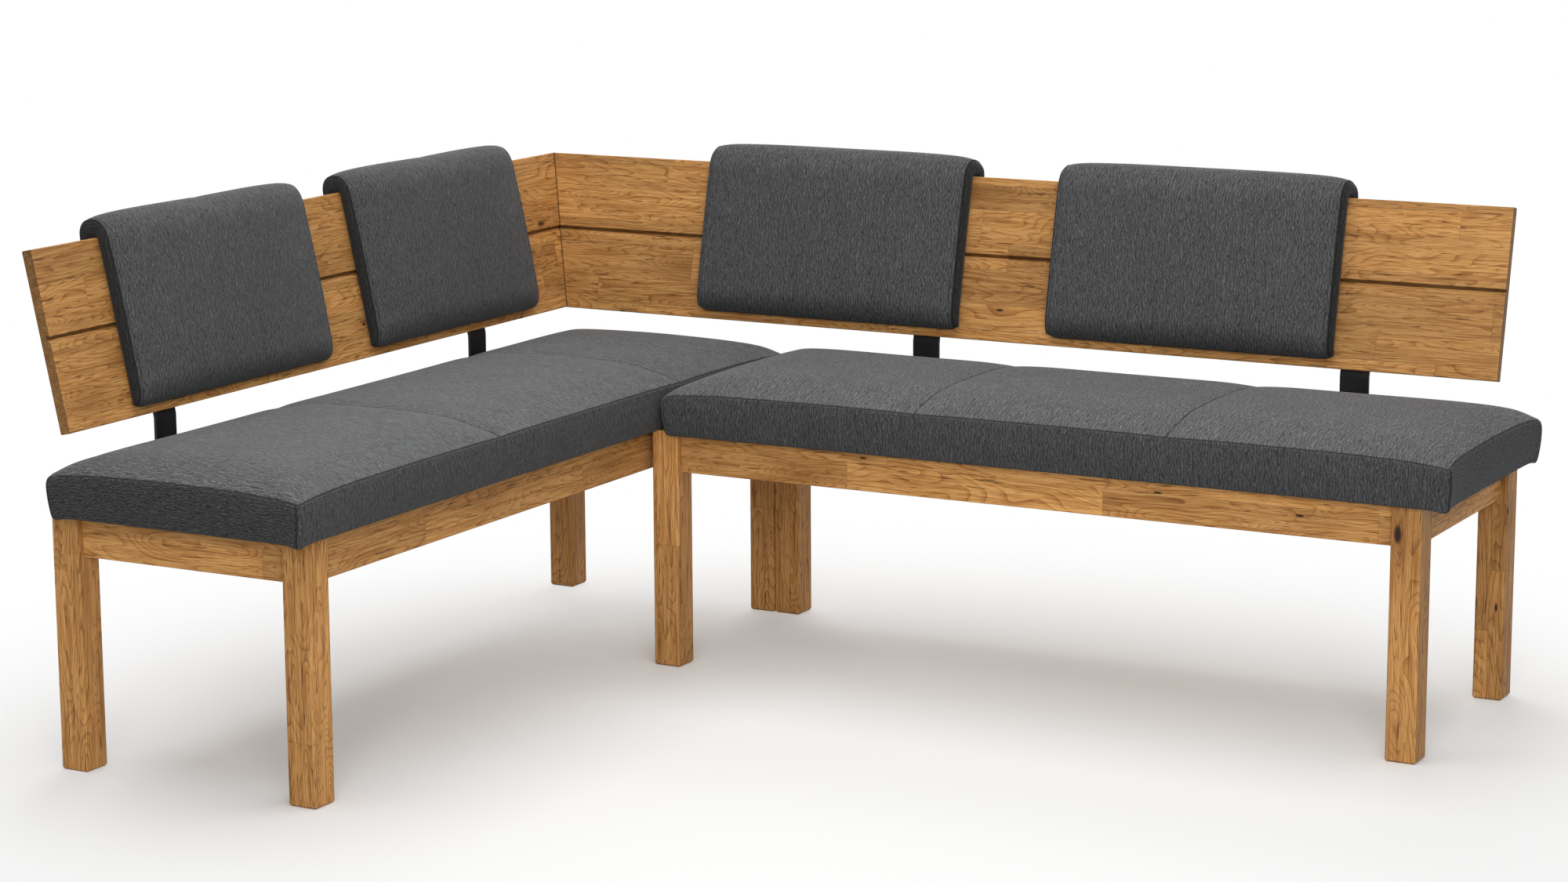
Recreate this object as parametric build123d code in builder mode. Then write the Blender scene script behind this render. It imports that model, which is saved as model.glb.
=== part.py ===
from build123d import *
from dataclasses import dataclass
import math
import os

# Corner bench: two oak frames in an L, leaning backrest boards and loose cushions.
# All lengths are millimetres. Each wing is drawn along +X from the room corner, with its wall on the +Y side;
# the long wing is then mirrored across the mitre plane, so that it runs along -Y.
os.makedirs("parts", exist_ok=True)

# Frames: square legs and four rails a unit
LEG = 50
LEG_ROUND = 4
FOOT_CHAMFER = 3.5
FRAME_TOP = 410
UNIT_DEPTH = 480
LONG_UNIT = 1465
SHORT_UNIT = 1360
UNIT_GAP = 1
RAIL_HEIGHT = 72
RAIL_THICK = 25
RAIL_SETBACK = 13
RAIL_ROUND = 2.5
TENON_THICK = 10
TENON_LENGTH = 18
TENON_SHOULDER = 12

# Seat panels, each on two ledger strips
PANEL_THICK = 15
PANEL_PLAY = 1
LEDGER = 20

# Seat cushions: boxed, with soft shoulders under a low crown, drawn in at the ends and at two cross seams
SEAT_SIDE = 70
SEAT_BULGE = 3
SEAT_FRONT_OVERHANG = 24
SEAT_END_OVERHANG = 46
SEAT_REAR_INSET = 29
SEAT_TAPER = 6
SEAT_GAP = 2
SEAT_CROWN = 5
SHOULDER_REACH = 45
SHOULDER_BEND = (0.3, 0.68)
SEAM_RISE = (9, 16)
END_RISE = (3, 16)
END_DRAW = 4
LONG_SEAMS = (408, 971)
SHORT_SEAMS = (985, 1426)

# Backrest boards: leaning, grooved and mitred at the corner
BOARD_THICK = 18
BOARD_HEIGHT = 284
BOARD_TOP = 807
BOARD_TOP_OUT = 21
BOARD_TILT = 12.4
BOARD_ROUND = 2
GROOVE_WIDTH = 12
GROOVE_DOWN = 139
LONG_BOARD_INSET = 5
SHORT_BOARD_INSET = 28
MITRE_ALLOWANCE = 80

# Flat-steel brackets: up the rail, a step forward behind the seat cushion, then up behind the board
BRACKET_WIDTH = 50
BRACKET_THICK = 5
BRACKET_FOOT = 346
BRACKET_STEP = (425, 455)
BRACKET_DROP = 10
BRACKET_BEND_RADIUS = 30
BRACKET_REACH = 170
LONG_BRACKETS = (315, 1208)
SHORT_BRACKETS = (773, 1565)
RAIL_SCREW_HEIGHTS = (358, 392)
BOARD_SCREW_DROPS = (132, 196, 260)

# Back cushions: a padded front, a roll over the board and a short flap behind it
PAD_LENGTH = 510
PAD_DROP = 270
PAD_PLAY = 0.8
PAD_TOP_PLAY = 1.5
PAD_ROLL = (30, 40)
PAD_FOOT_SHARE = 0.63
PAD_BULGE = 2
ROLL_PROUD = 3
LONG_PAD_FRONT = (22, 34)
LONG_PAD_FLAP = (16, 20)
SHORT_PAD_FRONT = (32, 38)
SHORT_PAD_FLAP = (28, 32)
FLAP_DROP = 62
ROLL_START = 0.5
ARC_FULLNESS = 0.72
AHEAD_FULLNESS = 0.62
HEM_FULLNESS = 0.4
LONG_PADS = (409, 1050)
SHORT_PADS = (586, 1275)

# Spans that each sewn panel is drawn through
STATIONS = 8

# Fasteners
SCREW_SHANK = 2.2
SCREW_HEAD = 4.5
SCREW_HEAD_HEIGHT = 2.8
SCREW_CLEAR = 0.3
LEDGER_SCREWS = 4
LEDGER_SCREW_SHARE = 0.2
PANEL_SCREW_SHARE = 0.7
LEDGER_SCREW = 35
PANEL_SCREW = 30
RAIL_SCREW = 23
BOARD_SCREW = 17
PLATE_SCREW = 22
PLATE_THICK = 2.5
PLATE_WIDTH = 40
PLATE_MARGIN = 6
PLATE_PLACES = (150, 330)

# Worked out from the driving dimensions
RAIL_BOTTOM = FRAME_TOP - RAIL_HEIGHT
TENON_Z = (RAIL_BOTTOM + TENON_SHOULDER, FRAME_TOP - TENON_SHOULDER)
TENON_NEAR = RAIL_SETBACK + (RAIL_THICK - TENON_THICK) / 2
TENON_FAR = TENON_NEAR + TENON_THICK
RAIL_INSIDE = RAIL_SETBACK + RAIL_THICK
LEDGER_TOP = FRAME_TOP - PANEL_THICK
SHORT_START = UNIT_DEPTH + UNIT_GAP
SHORT_END = SHORT_START + SHORT_UNIT
SHORT_SEAT_START = UNIT_DEPTH + SEAT_FRONT_OVERHANG + SEAT_BULGE + SEAT_GAP
LEAN_SIN = math.sin(math.radians(BOARD_TILT))
LEAN_COS = math.cos(math.radians(BOARD_TILT))
SLOT_BACK_OUT = BOARD_TOP_OUT + (BOARD_THICK + PAD_PLAY) * LEAN_COS + ROLL_PROUD
LONG_REACH = SLOT_BACK_OUT + LONG_PAD_FLAP[1] * LEAN_COS
SHORT_REACH = SLOT_BACK_OUT + SHORT_PAD_FLAP[1] * LEAN_COS

# The room corner, placed so that the part's origin is the middle of its box on the floor
CORNER_X = (LONG_REACH - SHORT_END - SEAT_END_OVERHANG) / 2
CORNER_Y = (LONG_UNIT + SEAT_END_OVERHANG - SHORT_REACH) / 2
CORNER = Plane(origin=(CORNER_X, CORNER_Y, 0))
MITRE = Plane(origin=(CORNER_X, CORNER_Y, 0), z_dir=(1, 1, 0))


@dataclass
class Wing:
    name: str
    mirrored: bool
    unit: tuple
    seat: tuple
    board_end: float
    brackets: tuple
    pads: tuple
    pad_front: tuple
    pad_flap: tuple


# The seat tuples hold the cushion's two ends with its cross seams between them
LONG = Wing(
    name="long",
    mirrored=True,
    unit=(0, LONG_UNIT),
    seat=(SEAT_REAR_INSET, *LONG_SEAMS, LONG_UNIT + SEAT_END_OVERHANG),
    board_end=LONG_UNIT - LONG_BOARD_INSET,
    brackets=LONG_BRACKETS,
    pads=LONG_PADS,
    pad_front=LONG_PAD_FRONT,
    pad_flap=LONG_PAD_FLAP,
)
SHORT = Wing(
    name="short",
    mirrored=False,
    unit=(SHORT_START, SHORT_END),
    seat=(SHORT_SEAT_START, *SHORT_SEAMS, SHORT_END + SEAT_END_OVERHANG),
    board_end=SHORT_END - SHORT_BOARD_INSET,
    brackets=SHORT_BRACKETS,
    pads=SHORT_PADS,
    pad_front=SHORT_PAD_FRONT,
    pad_flap=SHORT_PAD_FLAP,
)
WINGS = (LONG, SHORT)
DEPTH_SPAN = (-UNIT_DEPTH, 0)
DEPTH_NAMES = ("room", "wall")
END_NAMES = ("inner", "outer")


# Builds a block from its spans along the wing, across it and up
def block(along, across, height, mode=Mode.ADD):
    spans = (along, across, height)
    middle = [(low + high) / 2 for low, high in spans]
    size = [high - low for low, high in spans]
    with Locations(tuple(middle)):
        Box(*size, mode=mode)


# Gives the band between two depths, measured inward from one side of a span
def band(span, side, near, far):
    if side == 0:
        return (span[0] + near, span[0] + far)
    return (span[1] - far, span[1] - near)


# Turns the long wing's pieces into place
def settle(wing):
    if wing.mirrored:
        mirror(about=MITRE, mode=Mode.REPLACE)


# A plane across the wing at a distance from the corner: local x is towards the wall, local y is up
def cross_plane(along):
    return Plane(origin=(CORNER_X + along, CORNER_Y, 0), x_dir=(0, 1, 0), z_dir=(1, 0, 0))


# The same across the leaning board: from its top front edge, local x is backward and local y up the slope
def board_plane(along):
    return Plane(
        origin=(CORNER_X + along, CORNER_Y + BOARD_TOP_OUT, BOARD_TOP),
        x_dir=(0, LEAN_COS, -LEAN_SIN),
        z_dir=(1, 0, 0),
    )


def make_leg(wing, end, side):
    name = f"{wing.name}_leg_{DEPTH_NAMES[side]}_{END_NAMES[end]}"
    with BuildPart(CORNER) as leg:
        block(band(wing.unit, end, 0, LEG), band(DEPTH_SPAN, side, 0, LEG), (0, FRAME_TOP))
        fillet(leg.edges().filter_by(Axis.Z), LEG_ROUND)
        chamfer(leg.faces().sort_by(Axis.Z)[0].edges(), FOOT_CHAMFER)
        mortise = (LEG - TENON_LENGTH, LEG)
        tenon = (TENON_NEAR, TENON_FAR)
        block(band(wing.unit, end, *mortise), band(DEPTH_SPAN, side, *tenon), TENON_Z, Mode.SUBTRACT)
        block(band(wing.unit, end, *tenon), band(DEPTH_SPAN, side, *mortise), TENON_Z, Mode.SUBTRACT)
        settle(wing)
    leg.part.label = name
    export_step(leg.part, f"parts/{name}.step")


def make_long_rail(wing, side):
    name = f"{wing.name}_rail_{DEPTH_NAMES[side]}"
    start, end = wing.unit
    with BuildPart(CORNER) as rail:
        across = band(DEPTH_SPAN, side, RAIL_SETBACK, RAIL_INSIDE)
        block((start + LEG, end - LEG), across, (RAIL_BOTTOM, FRAME_TOP))
        fillet(rail.edges().filter_by(Axis.X), RAIL_ROUND)
        tenons = (start + LEG - TENON_LENGTH, end - LEG + TENON_LENGTH)
        block(tenons, band(DEPTH_SPAN, side, TENON_NEAR, TENON_FAR), TENON_Z)
        settle(wing)
    rail.part.label = name
    export_step(rail.part, f"parts/{name}.step")


def make_end_rail(wing, end):
    name = f"{wing.name}_rail_{END_NAMES[end]}"
    low, high = DEPTH_SPAN
    with BuildPart(CORNER) as rail:
        along = band(wing.unit, end, RAIL_SETBACK, RAIL_INSIDE)
        block(along, (low + LEG, high - LEG), (RAIL_BOTTOM, FRAME_TOP))
        fillet(rail.edges().filter_by(Axis.Y), RAIL_ROUND)
        tenons = (low + LEG - TENON_LENGTH, high - LEG + TENON_LENGTH)
        block(band(wing.unit, end, TENON_NEAR, TENON_FAR), tenons, TENON_Z)
        settle(wing)
    rail.part.label = name
    export_step(rail.part, f"parts/{name}.step")


def make_ledger(wing, side):
    name = f"{wing.name}_ledger_{DEPTH_NAMES[side]}"
    start, end = wing.unit
    with BuildPart(CORNER) as ledger:
        along = (start + LEG + PANEL_PLAY, end - LEG - PANEL_PLAY)
        across = band(DEPTH_SPAN, side, RAIL_INSIDE, RAIL_INSIDE + LEDGER)
        block(along, across, (LEDGER_TOP - LEDGER, LEDGER_TOP))
        settle(wing)
    ledger.part.label = name
    export_step(ledger.part, f"parts/{name}.step")


def make_panel(wing):
    name = f"{wing.name}_seat_panel"
    inset = RAIL_INSIDE + PANEL_PLAY
    height = (LEDGER_TOP, FRAME_TOP)
    with BuildPart(CORNER) as panel:
        block(
            (wing.unit[0] + inset, wing.unit[1] - inset),
            (DEPTH_SPAN[0] + inset, DEPTH_SPAN[1] - inset),
            height,
        )
        for end in (0, 1):
            for side in (0, 1):
                notch = (0, LEG + PANEL_PLAY)
                block(band(wing.unit, end, *notch), band(DEPTH_SPAN, side, *notch), height, Mode.SUBTRACT)
        settle(wing)
    panel.part.label = name
    export_step(panel.part, f"parts/{name}.step")


# How far a sewn panel has swelled at a share of its length: nothing at its ends, all of it in the middle
def swell_at(share):
    return 1 - (2 * share - 1) ** 4


# A size at one station, between its value at the ends and its value in the middle
def swollen(size, swell):
    return size[0] + (size[1] - size[0]) * swell


def make_seat_cushion(wing):
    name = f"{wing.name}_seat_cushion"
    panels = list(zip(wing.seat[:-1], wing.seat[1:]))
    with BuildPart() as cushion:
        for number, (start, end) in enumerate(panels):
            for station in range(STATIONS + 1):
                share = station / STATIONS
                swell = swell_at(share)
                at_open_end = (number == 0 and share < 0.5) or (number == len(panels) - 1 and share > 0.5)
                draw = END_DRAW * (1 - swell) if at_open_end else 0
                rise = swollen(END_RISE if at_open_end else SEAM_RISE, swell)
                rear = -SEAT_REAR_INSET - draw
                front = -UNIT_DEPTH - SEAT_FRONT_OVERHANG + draw
                waist = FRAME_TOP + SEAT_SIDE / 2
                seam = FRAME_TOP + SEAT_SIDE
                top = seam + rise
                bend_in = SHOULDER_REACH * SHOULDER_BEND[0]
                bend = seam + rise * SHOULDER_BEND[1]
                with BuildSketch(cross_plane(start + (end - start) * share)):
                    with BuildLine():
                        Line((rear - SEAT_TAPER, FRAME_TOP), (front + SEAT_TAPER, FRAME_TOP))
                        ThreePointArc(
                            (front + SEAT_TAPER, FRAME_TOP),
                            (front + SEAT_TAPER / 2 - SEAT_BULGE, waist),
                            (front, seam),
                        )
                        ThreePointArc((front, seam), (front + bend_in, bend), (front + SHOULDER_REACH, top))
                        ThreePointArc(
                            (front + SHOULDER_REACH, top),
                            ((front + rear) / 2, top + SEAT_CROWN),
                            (rear - SHOULDER_REACH, top),
                        )
                        ThreePointArc((rear - SHOULDER_REACH, top), (rear - bend_in, bend), (rear, seam))
                        ThreePointArc(
                            (rear, seam),
                            (rear - SEAT_TAPER / 2 + SEAT_BULGE, waist),
                            (rear - SEAT_TAPER, FRAME_TOP),
                        )
                    make_face()
            loft()
        settle(wing)
    cushion.part.label = name
    export_step(cushion.part, f"parts/{name}.step")


def make_board(wing):
    name = f"{wing.name}_backrest_board"
    with BuildPart() as board:
        with BuildSketch(board_plane(-MITRE_ALLOWANCE)) as section:
            with Locations((BOARD_THICK / 2, -BOARD_HEIGHT / 2)):
                Rectangle(BOARD_THICK, BOARD_HEIGHT)
            fillet(section.vertices(), BOARD_ROUND)
            with Locations((0, -GROOVE_DOWN)):
                RegularPolygon(GROOVE_WIDTH / 2, side_count=4, mode=Mode.SUBTRACT)
        extrude(amount=wing.board_end + MITRE_ALLOWANCE)
        split(bisect_by=MITRE, keep=Keep.TOP)
        settle(wing)
    board.part.label = name
    export_step(board.part, f"parts/{name}.step")


# Where the bracket screws sit: on the rail they point at the wall, on the board square to its back
def rail_seats(along):
    face = CORNER_Y - RAIL_SETBACK + BRACKET_THICK
    return [Plane((CORNER_X + along, face, height), z_dir=(0, 1, 0)) for height in RAIL_SCREW_HEIGHTS]


def board_seats(along):
    section = board_plane(along)
    depth = BOARD_THICK + BRACKET_THICK
    places = [section.from_local_coords((depth, -drop)) for drop in BOARD_SCREW_DROPS]
    return [Plane(place, z_dir=section.x_dir) for place in places]


def bracket_seats(wing, seats_at):
    return [seat for along in wing.brackets for seat in seats_at(along)]


def make_bracket(wing, number, along):
    name = f"{wing.name}_bracket_{number}"
    section = board_plane(along)
    ground = cross_plane(along - BRACKET_WIDTH / 2)
    bend = section.from_local_coords((BOARD_THICK, -BOARD_HEIGHT - BRACKET_DROP))
    top = section.from_local_coords((BOARD_THICK, BRACKET_REACH - BOARD_HEIGHT))
    with BuildPart() as bracket:
        with BuildSketch(ground):
            with BuildLine():
                FilletPolyline(
                    (-RAIL_SETBACK, BRACKET_FOOT),
                    (-RAIL_SETBACK, BRACKET_STEP[0]),
                    (bend.Y - CORNER_Y, BRACKET_STEP[1]),
                    (bend.Y - CORNER_Y, bend.Z),
                    (top.Y - CORNER_Y, top.Z),
                    radius=BRACKET_BEND_RADIUS,
                )
                offset(amount=BRACKET_THICK, side=Side.RIGHT)
            make_face()
        extrude(amount=BRACKET_WIDTH)
        with Locations(*rail_seats(along), *board_seats(along)):
            Cylinder(SCREW_SHANK + SCREW_CLEAR, BRACKET_THICK * 3, mode=Mode.SUBTRACT)
        settle(wing)
    bracket.part.label = name
    export_step(bracket.part, f"parts/{name}.step")


def make_back_cushion(wing, number, middle):
    name = f"{wing.name}_back_cushion_{number}"
    start = middle - PAD_LENGTH / 2
    slot_front = -PAD_PLAY
    slot_back = BOARD_THICK + PAD_PLAY
    slot_middle = BOARD_THICK / 2
    with BuildPart() as cushion:
        for station in range(STATIONS + 1):
            share = station / STATIONS
            swell = swell_at(share)
            front = slot_front - swollen(wing.pad_front, swell)
            foot = slot_front - swollen(wing.pad_front, swell) * PAD_FOOT_SHARE
            roll = swollen(PAD_ROLL, swell)
            flap = slot_back + swollen(wing.pad_flap, swell)
            flap_middle = (slot_back + flap) / 2
            flap_hem = (flap - slot_back) * HEM_FULLNESS
            foot_middle = (slot_front + foot) / 2
            foot_hem = (slot_front - foot) * HEM_FULLNESS
            roll_behind = (slot_middle + (flap - slot_middle) * ARC_FULLNESS, roll * ARC_FULLNESS)
            roll_ahead = (slot_middle + (front - slot_middle) * ARC_FULLNESS, roll * AHEAD_FULLNESS)
            with BuildSketch(board_plane(start + PAD_LENGTH * share)):
                with BuildLine():
                    Polyline(
                        (slot_front, -PAD_DROP),
                        (slot_front, PAD_TOP_PLAY),
                        (slot_back, PAD_TOP_PLAY),
                        (slot_back, -FLAP_DROP),
                    )
                    ThreePointArc(
                        (slot_back, -FLAP_DROP),
                        (flap_middle, -FLAP_DROP - flap_hem),
                        (flap, -FLAP_DROP),
                    )
                    ThreePointArc((flap, -FLAP_DROP), (flap + PAD_BULGE / 2, -FLAP_DROP / 2), (flap, 0))
                    ThreePointArc((flap, 0), roll_behind, (slot_middle, roll))
                    ThreePointArc((slot_middle, roll), roll_ahead, (front, -roll * ROLL_START))
                    ThreePointArc(
                        (front, -roll * ROLL_START),
                        (front - PAD_BULGE, -PAD_DROP / 2),
                        (foot, -PAD_DROP),
                    )
                    ThreePointArc(
                        (foot, -PAD_DROP),
                        (foot_middle, -PAD_DROP - foot_hem),
                        (slot_front, -PAD_DROP),
                    )
                make_face()
        loft()
        settle(wing)
    cushion.part.label = name
    export_step(cushion.part, f"parts/{name}.step")


# Where the ledger screws go into the rails, and the panel screws up into the panels
def ledger_seats(wing):
    seats = []
    for side, inward in ((0, 1), (1, -1)):
        face = band(DEPTH_SPAN, side, RAIL_INSIDE, RAIL_INSIDE + LEDGER)[1 - side]
        for along in screw_row(wing, LEDGER_SCREW_SHARE):
            place = (CORNER_X + along, CORNER_Y + face, LEDGER_TOP - LEDGER / 2)
            seats.append(Plane(place, z_dir=(0, inward, 0)))
    return seats


def panel_seats(wing):
    seats = []
    for side in (0, 1):
        middle = sum(band(DEPTH_SPAN, side, RAIL_INSIDE, RAIL_INSIDE + LEDGER)) / 2
        for along in screw_row(wing, PANEL_SCREW_SHARE):
            place = (CORNER_X + along, CORNER_Y + middle, LEDGER_TOP - LEDGER)
            seats.append(Plane(place, z_dir=(0, 0, -1)))
    return seats


def screw_row(wing, share):
    start, end = wing.unit
    pitch = (end - start - 2 * LEG) / LEDGER_SCREWS
    return [start + LEG + pitch * (number + share) for number in range(LEDGER_SCREWS)]


def plate_seats():
    seats = []
    for along in (UNIT_DEPTH - RAIL_INSIDE + RAIL_THICK / 2, SHORT_START + RAIL_INSIDE - RAIL_THICK / 2):
        for place in PLATE_PLACES:
            for shift in (-PLATE_WIDTH / 4, PLATE_WIDTH / 4):
                seat = (CORNER_X + along, CORNER_Y - place + shift, RAIL_BOTTOM - PLATE_THICK)
                seats.append(Plane(seat, z_dir=(0, 0, -1)))
    return seats


# Pan-head screws as one group, from pairs of a wing and its seats
def make_screws(name, length, groups):
    with BuildPart() as screws:
        for wing, seats in groups:
            with Locations(*seats):
                Cylinder(SCREW_HEAD, SCREW_HEAD_HEIGHT, align=(Align.CENTER, Align.CENTER, Align.MIN))
                Cylinder(SCREW_SHANK, length, align=(Align.CENTER, Align.CENTER, Align.MAX))
            settle(wing)
    screws.part.label = name
    export_step(screws.part, f"parts/{name}.step")


def make_plates(name):
    start = CORNER_X + UNIT_DEPTH - RAIL_INSIDE + PLATE_MARGIN
    end = CORNER_X + SHORT_START + RAIL_INSIDE - PLATE_MARGIN
    with BuildPart() as plates:
        for place in PLATE_PLACES:
            with Locations(((start + end) / 2, CORNER_Y - place, RAIL_BOTTOM - PLATE_THICK / 2)):
                Box(end - start, PLATE_WIDTH, PLATE_THICK)
        with Locations(*plate_seats()):
            Cylinder(SCREW_SHANK + SCREW_CLEAR, PLATE_THICK * 3, mode=Mode.SUBTRACT)
    plates.part.label = name
    export_step(plates.part, f"parts/{name}.step")


for wing in WINGS:
    for end in (0, 1):
        make_end_rail(wing, end)
        for side in (0, 1):
            make_leg(wing, end, side)
    for side in (0, 1):
        make_long_rail(wing, side)
        make_ledger(wing, side)
    make_panel(wing)
    make_seat_cushion(wing)
    make_board(wing)
    for number, along in enumerate(wing.brackets, 1):
        make_bracket(wing, number, along)
    for number, middle in enumerate(wing.pads, 1):
        make_back_cushion(wing, number, middle)

make_plates("unit_plates")
make_screws("unit_plate_screws", PLATE_SCREW, [(SHORT, plate_seats())])
make_screws("ledger_screws", LEDGER_SCREW, [(wing, ledger_seats(wing)) for wing in WINGS])
make_screws("panel_screws", PANEL_SCREW, [(wing, panel_seats(wing)) for wing in WINGS])
make_screws("bracket_rail_screws", RAIL_SCREW, [(wing, bracket_seats(wing, rail_seats)) for wing in WINGS])
make_screws("bracket_board_screws", BOARD_SCREW, [(wing, bracket_seats(wing, board_seats)) for wing in WINGS])
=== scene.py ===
import math
import bmesh
import bpy
import numpy as np
from mathutils import Euler, Matrix, Vector


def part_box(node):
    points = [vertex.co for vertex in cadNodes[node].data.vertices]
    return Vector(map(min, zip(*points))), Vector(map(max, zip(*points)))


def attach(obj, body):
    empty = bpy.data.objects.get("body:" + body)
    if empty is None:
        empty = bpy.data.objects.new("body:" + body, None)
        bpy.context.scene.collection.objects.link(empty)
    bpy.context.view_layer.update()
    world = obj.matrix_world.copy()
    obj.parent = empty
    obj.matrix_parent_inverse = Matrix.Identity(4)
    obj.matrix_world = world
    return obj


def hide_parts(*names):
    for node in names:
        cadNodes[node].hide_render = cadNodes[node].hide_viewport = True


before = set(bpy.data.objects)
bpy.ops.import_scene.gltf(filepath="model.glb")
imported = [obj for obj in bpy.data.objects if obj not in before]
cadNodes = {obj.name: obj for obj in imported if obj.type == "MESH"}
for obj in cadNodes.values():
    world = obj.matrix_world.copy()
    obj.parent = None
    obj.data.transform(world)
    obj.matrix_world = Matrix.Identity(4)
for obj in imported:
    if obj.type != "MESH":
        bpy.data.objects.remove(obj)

# Looks for a wooden corner bench: oak frames, hung back cushions, boxed seat cushions; lengths in metres
scene = bpy.context.scene
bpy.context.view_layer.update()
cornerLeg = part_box("long_leg_wall_inner")
roomCorner = (cornerLeg[0][0], cornerLeg[1][1])
tiny = 1e-6
print("frame loaded,", len(cadNodes), "solids")

# camera at the photograph's angle, with no shift; its place is measured from the room corner
cameraPlan = {
    "fromCorner": (3.587, -5.704, 1.551),
    "tilt": 79.17,
    "turn": 28.62,
    "roll": -0.28,
    "lens": 83.7,
    "sensor": 36,
}


def placeCamera(plan):
    data = bpy.data.cameras.new("benchCamera")
    data.lens = plan["lens"]
    data.sensor_width = plan["sensor"]
    camera = bpy.data.objects.new("benchCamera", data)
    turned = Euler((math.radians(plan["tilt"]), 0, math.radians(plan["turn"]))).to_matrix()
    rolled = turned @ Matrix.Rotation(math.radians(plan["roll"]), 3, "Z")
    place = Vector(plan["fromCorner"]) + Vector((*roomCorner, 0))
    camera.matrix_world = Matrix.Translation(place) @ rolled.to_4x4()
    scene.collection.objects.link(camera)
    scene.camera = camera


placeCamera(cameraPlan)
print("camera placed")


# node helpers: a value that is a socket gets linked, anything else is set
def addNode(tree, kind, inputs=None, **fixed):
    made = tree.nodes.new(kind)
    for key, value in fixed.items():
        setattr(made, key, value)
    for key, value in (inputs or {}).items():
        if isinstance(value, bpy.types.NodeSocket):
            tree.links.new(value, made.inputs[key])
        else:
            made.inputs[key].default_value = value
    return made


def calc(tree, operation, *values):
    return addNode(tree, "ShaderNodeMath", dict(enumerate(values)), operation=operation).outputs[0]


def vectorCalc(tree, operation, first, second):
    return addNode(tree, "ShaderNodeVectorMath", {0: first, 1: second}, operation=operation).outputs


def spread(tree, value, low, high, toLow=0.0, toHigh=1.0):
    inputs = {"Value": value, "From Min": low, "From Max": high, "To Min": toLow, "To Max": toHigh}
    return addNode(tree, "ShaderNodeMapRange", inputs, interpolation_type="SMOOTHSTEP").outputs[0]


def mixColour(tree, share, first, second, mode="MIX"):
    inputs = {0: share, 6: first, 7: second}
    return addNode(tree, "ShaderNodeMix", inputs, data_type="RGBA", blend_type=mode).outputs[2]


def noise(tree, vector, scale=1.0, detail=2.0, roughness=0.5, distortion=0.0):
    inputs = {"Vector": vector, "Scale": scale, "Detail": detail}
    inputs.update({"Roughness": roughness, "Distortion": distortion})
    return addNode(tree, "ShaderNodeTexNoise", inputs).outputs[0]


# noise with its own scale each way
def drawnNoise(tree, vector, scales, detail=2.0, roughness=0.5, distortion=0.0):
    drawn = vectorCalc(tree, "MULTIPLY", vector, scales)[0]
    return noise(tree, drawn, 1.0, detail, roughness, distortion)


def colourRamp(tree, share, positions, colours):
    made = addNode(tree, "ShaderNodeValToRGB", {"Fac": share})
    elements = made.color_ramp.elements
    elements.remove(elements[1])
    elements[0].position = positions[0]
    elements[0].color = (*colours[0], 1)
    for position, colour in zip(positions[1:], colours[1:]):
        elements.new(position).color = (*colour, 1)
    return made.outputs[0]


def toneColour(tree, colour, tone):
    grey = addNode(tree, "ShaderNodeCombineColor", {0: tone, 1: tone, 2: tone}).outputs[0]
    return mixColour(tree, 1.0, colour, grey, "MULTIPLY")


# rises from 0 on a flat to most on an edge, by how far a bevel would turn the surface there
def wornEdge(tree, radius, flatFrom, edgeFrom, most):
    softened = addNode(tree, "ShaderNodeBevel", {"Radius": radius}, samples=4).outputs[0]
    flat = addNode(tree, "ShaderNodeNewGeometry").outputs["Normal"]
    agree = vectorCalc(tree, "DOT_PRODUCT", softened, flat)["Value"]
    return spread(tree, agree, flatFrom, edgeFrom, 0.0, most)


def startMaterial(name):
    material = bpy.data.materials.new(name)
    material.use_nodes = True
    material.node_tree.nodes.clear()
    return material, material.node_tree


def finishMaterial(tree, shader):
    output = tree.nodes.new("ShaderNodeOutputMaterial")
    tree.links.new(shader.outputs[0], output.inputs[0])


# closes a material with one surface and its bump; the look's fixed values go on the shader's own sockets
def finishSurface(tree, look, colour, rough, height):
    strength, distance = look["bump"]
    bump = addNode(tree, "ShaderNodeBump", {"Strength": strength, "Distance": distance, "Height": height})
    inputs = {"Base Color": colour, "Roughness": rough, "Normal": bump.outputs[0], **look["shader"]}
    finishMaterial(tree, addNode(tree, "ShaderNodeBsdfPrincipled", inputs))


# the backrest boards as built: where their top front edge is, the dark line at the mitre, and the painted
# shade on the groove's upper flank
boardPlan = {
    "lean": math.radians(12.4),
    "top": 0.807,
    "topOut": 0.021,
    "thick": 0.018,
    "grooveDown": 0.139,
    "grooveShadeAbove": ((-0.001, 0.0005), (0.0075, 0.0065)),
    "grooveShadeInside": ((0.0004, 0.0014), (0.0075, 0.0065)),
    "paintedGrooveShade": 0.3,
    "mitreLine": (0.0006, 0.0016),
    "mitreTone": 0.3,
}
lean = boardPlan["lean"]
diagonal = math.sqrt(0.5)

# oiled wild oak, glued up from staves along the grain
oakLook = {
    "light": (0.6, 0.315, 0.105),
    "middle": (0.47, 0.222, 0.064),
    "dark": (0.235, 0.09, 0.022),
    "streak": (0.085, 0.03, 0.009),
    "knot": (0.028, 0.011, 0.005),
    "tones": (0.84, 1.12),
    "rough": (0.46, 0.66),
}
# the rails' oak a little lighter than the legs' and boards': painted light against the shade under the
# seat's overhang
paintedLightRailLook = {**oakLook, "tones": (0.96, 1.26)}
innerLook = {
    **oakLook,
    "light": (0.72, 0.53, 0.31),
    "middle": (0.64, 0.44, 0.24),
    "dark": (0.5, 0.32, 0.16),
    "streak": (0.34, 0.2, 0.1),
    "knot": (0.2, 0.1, 0.05),
}

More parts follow.
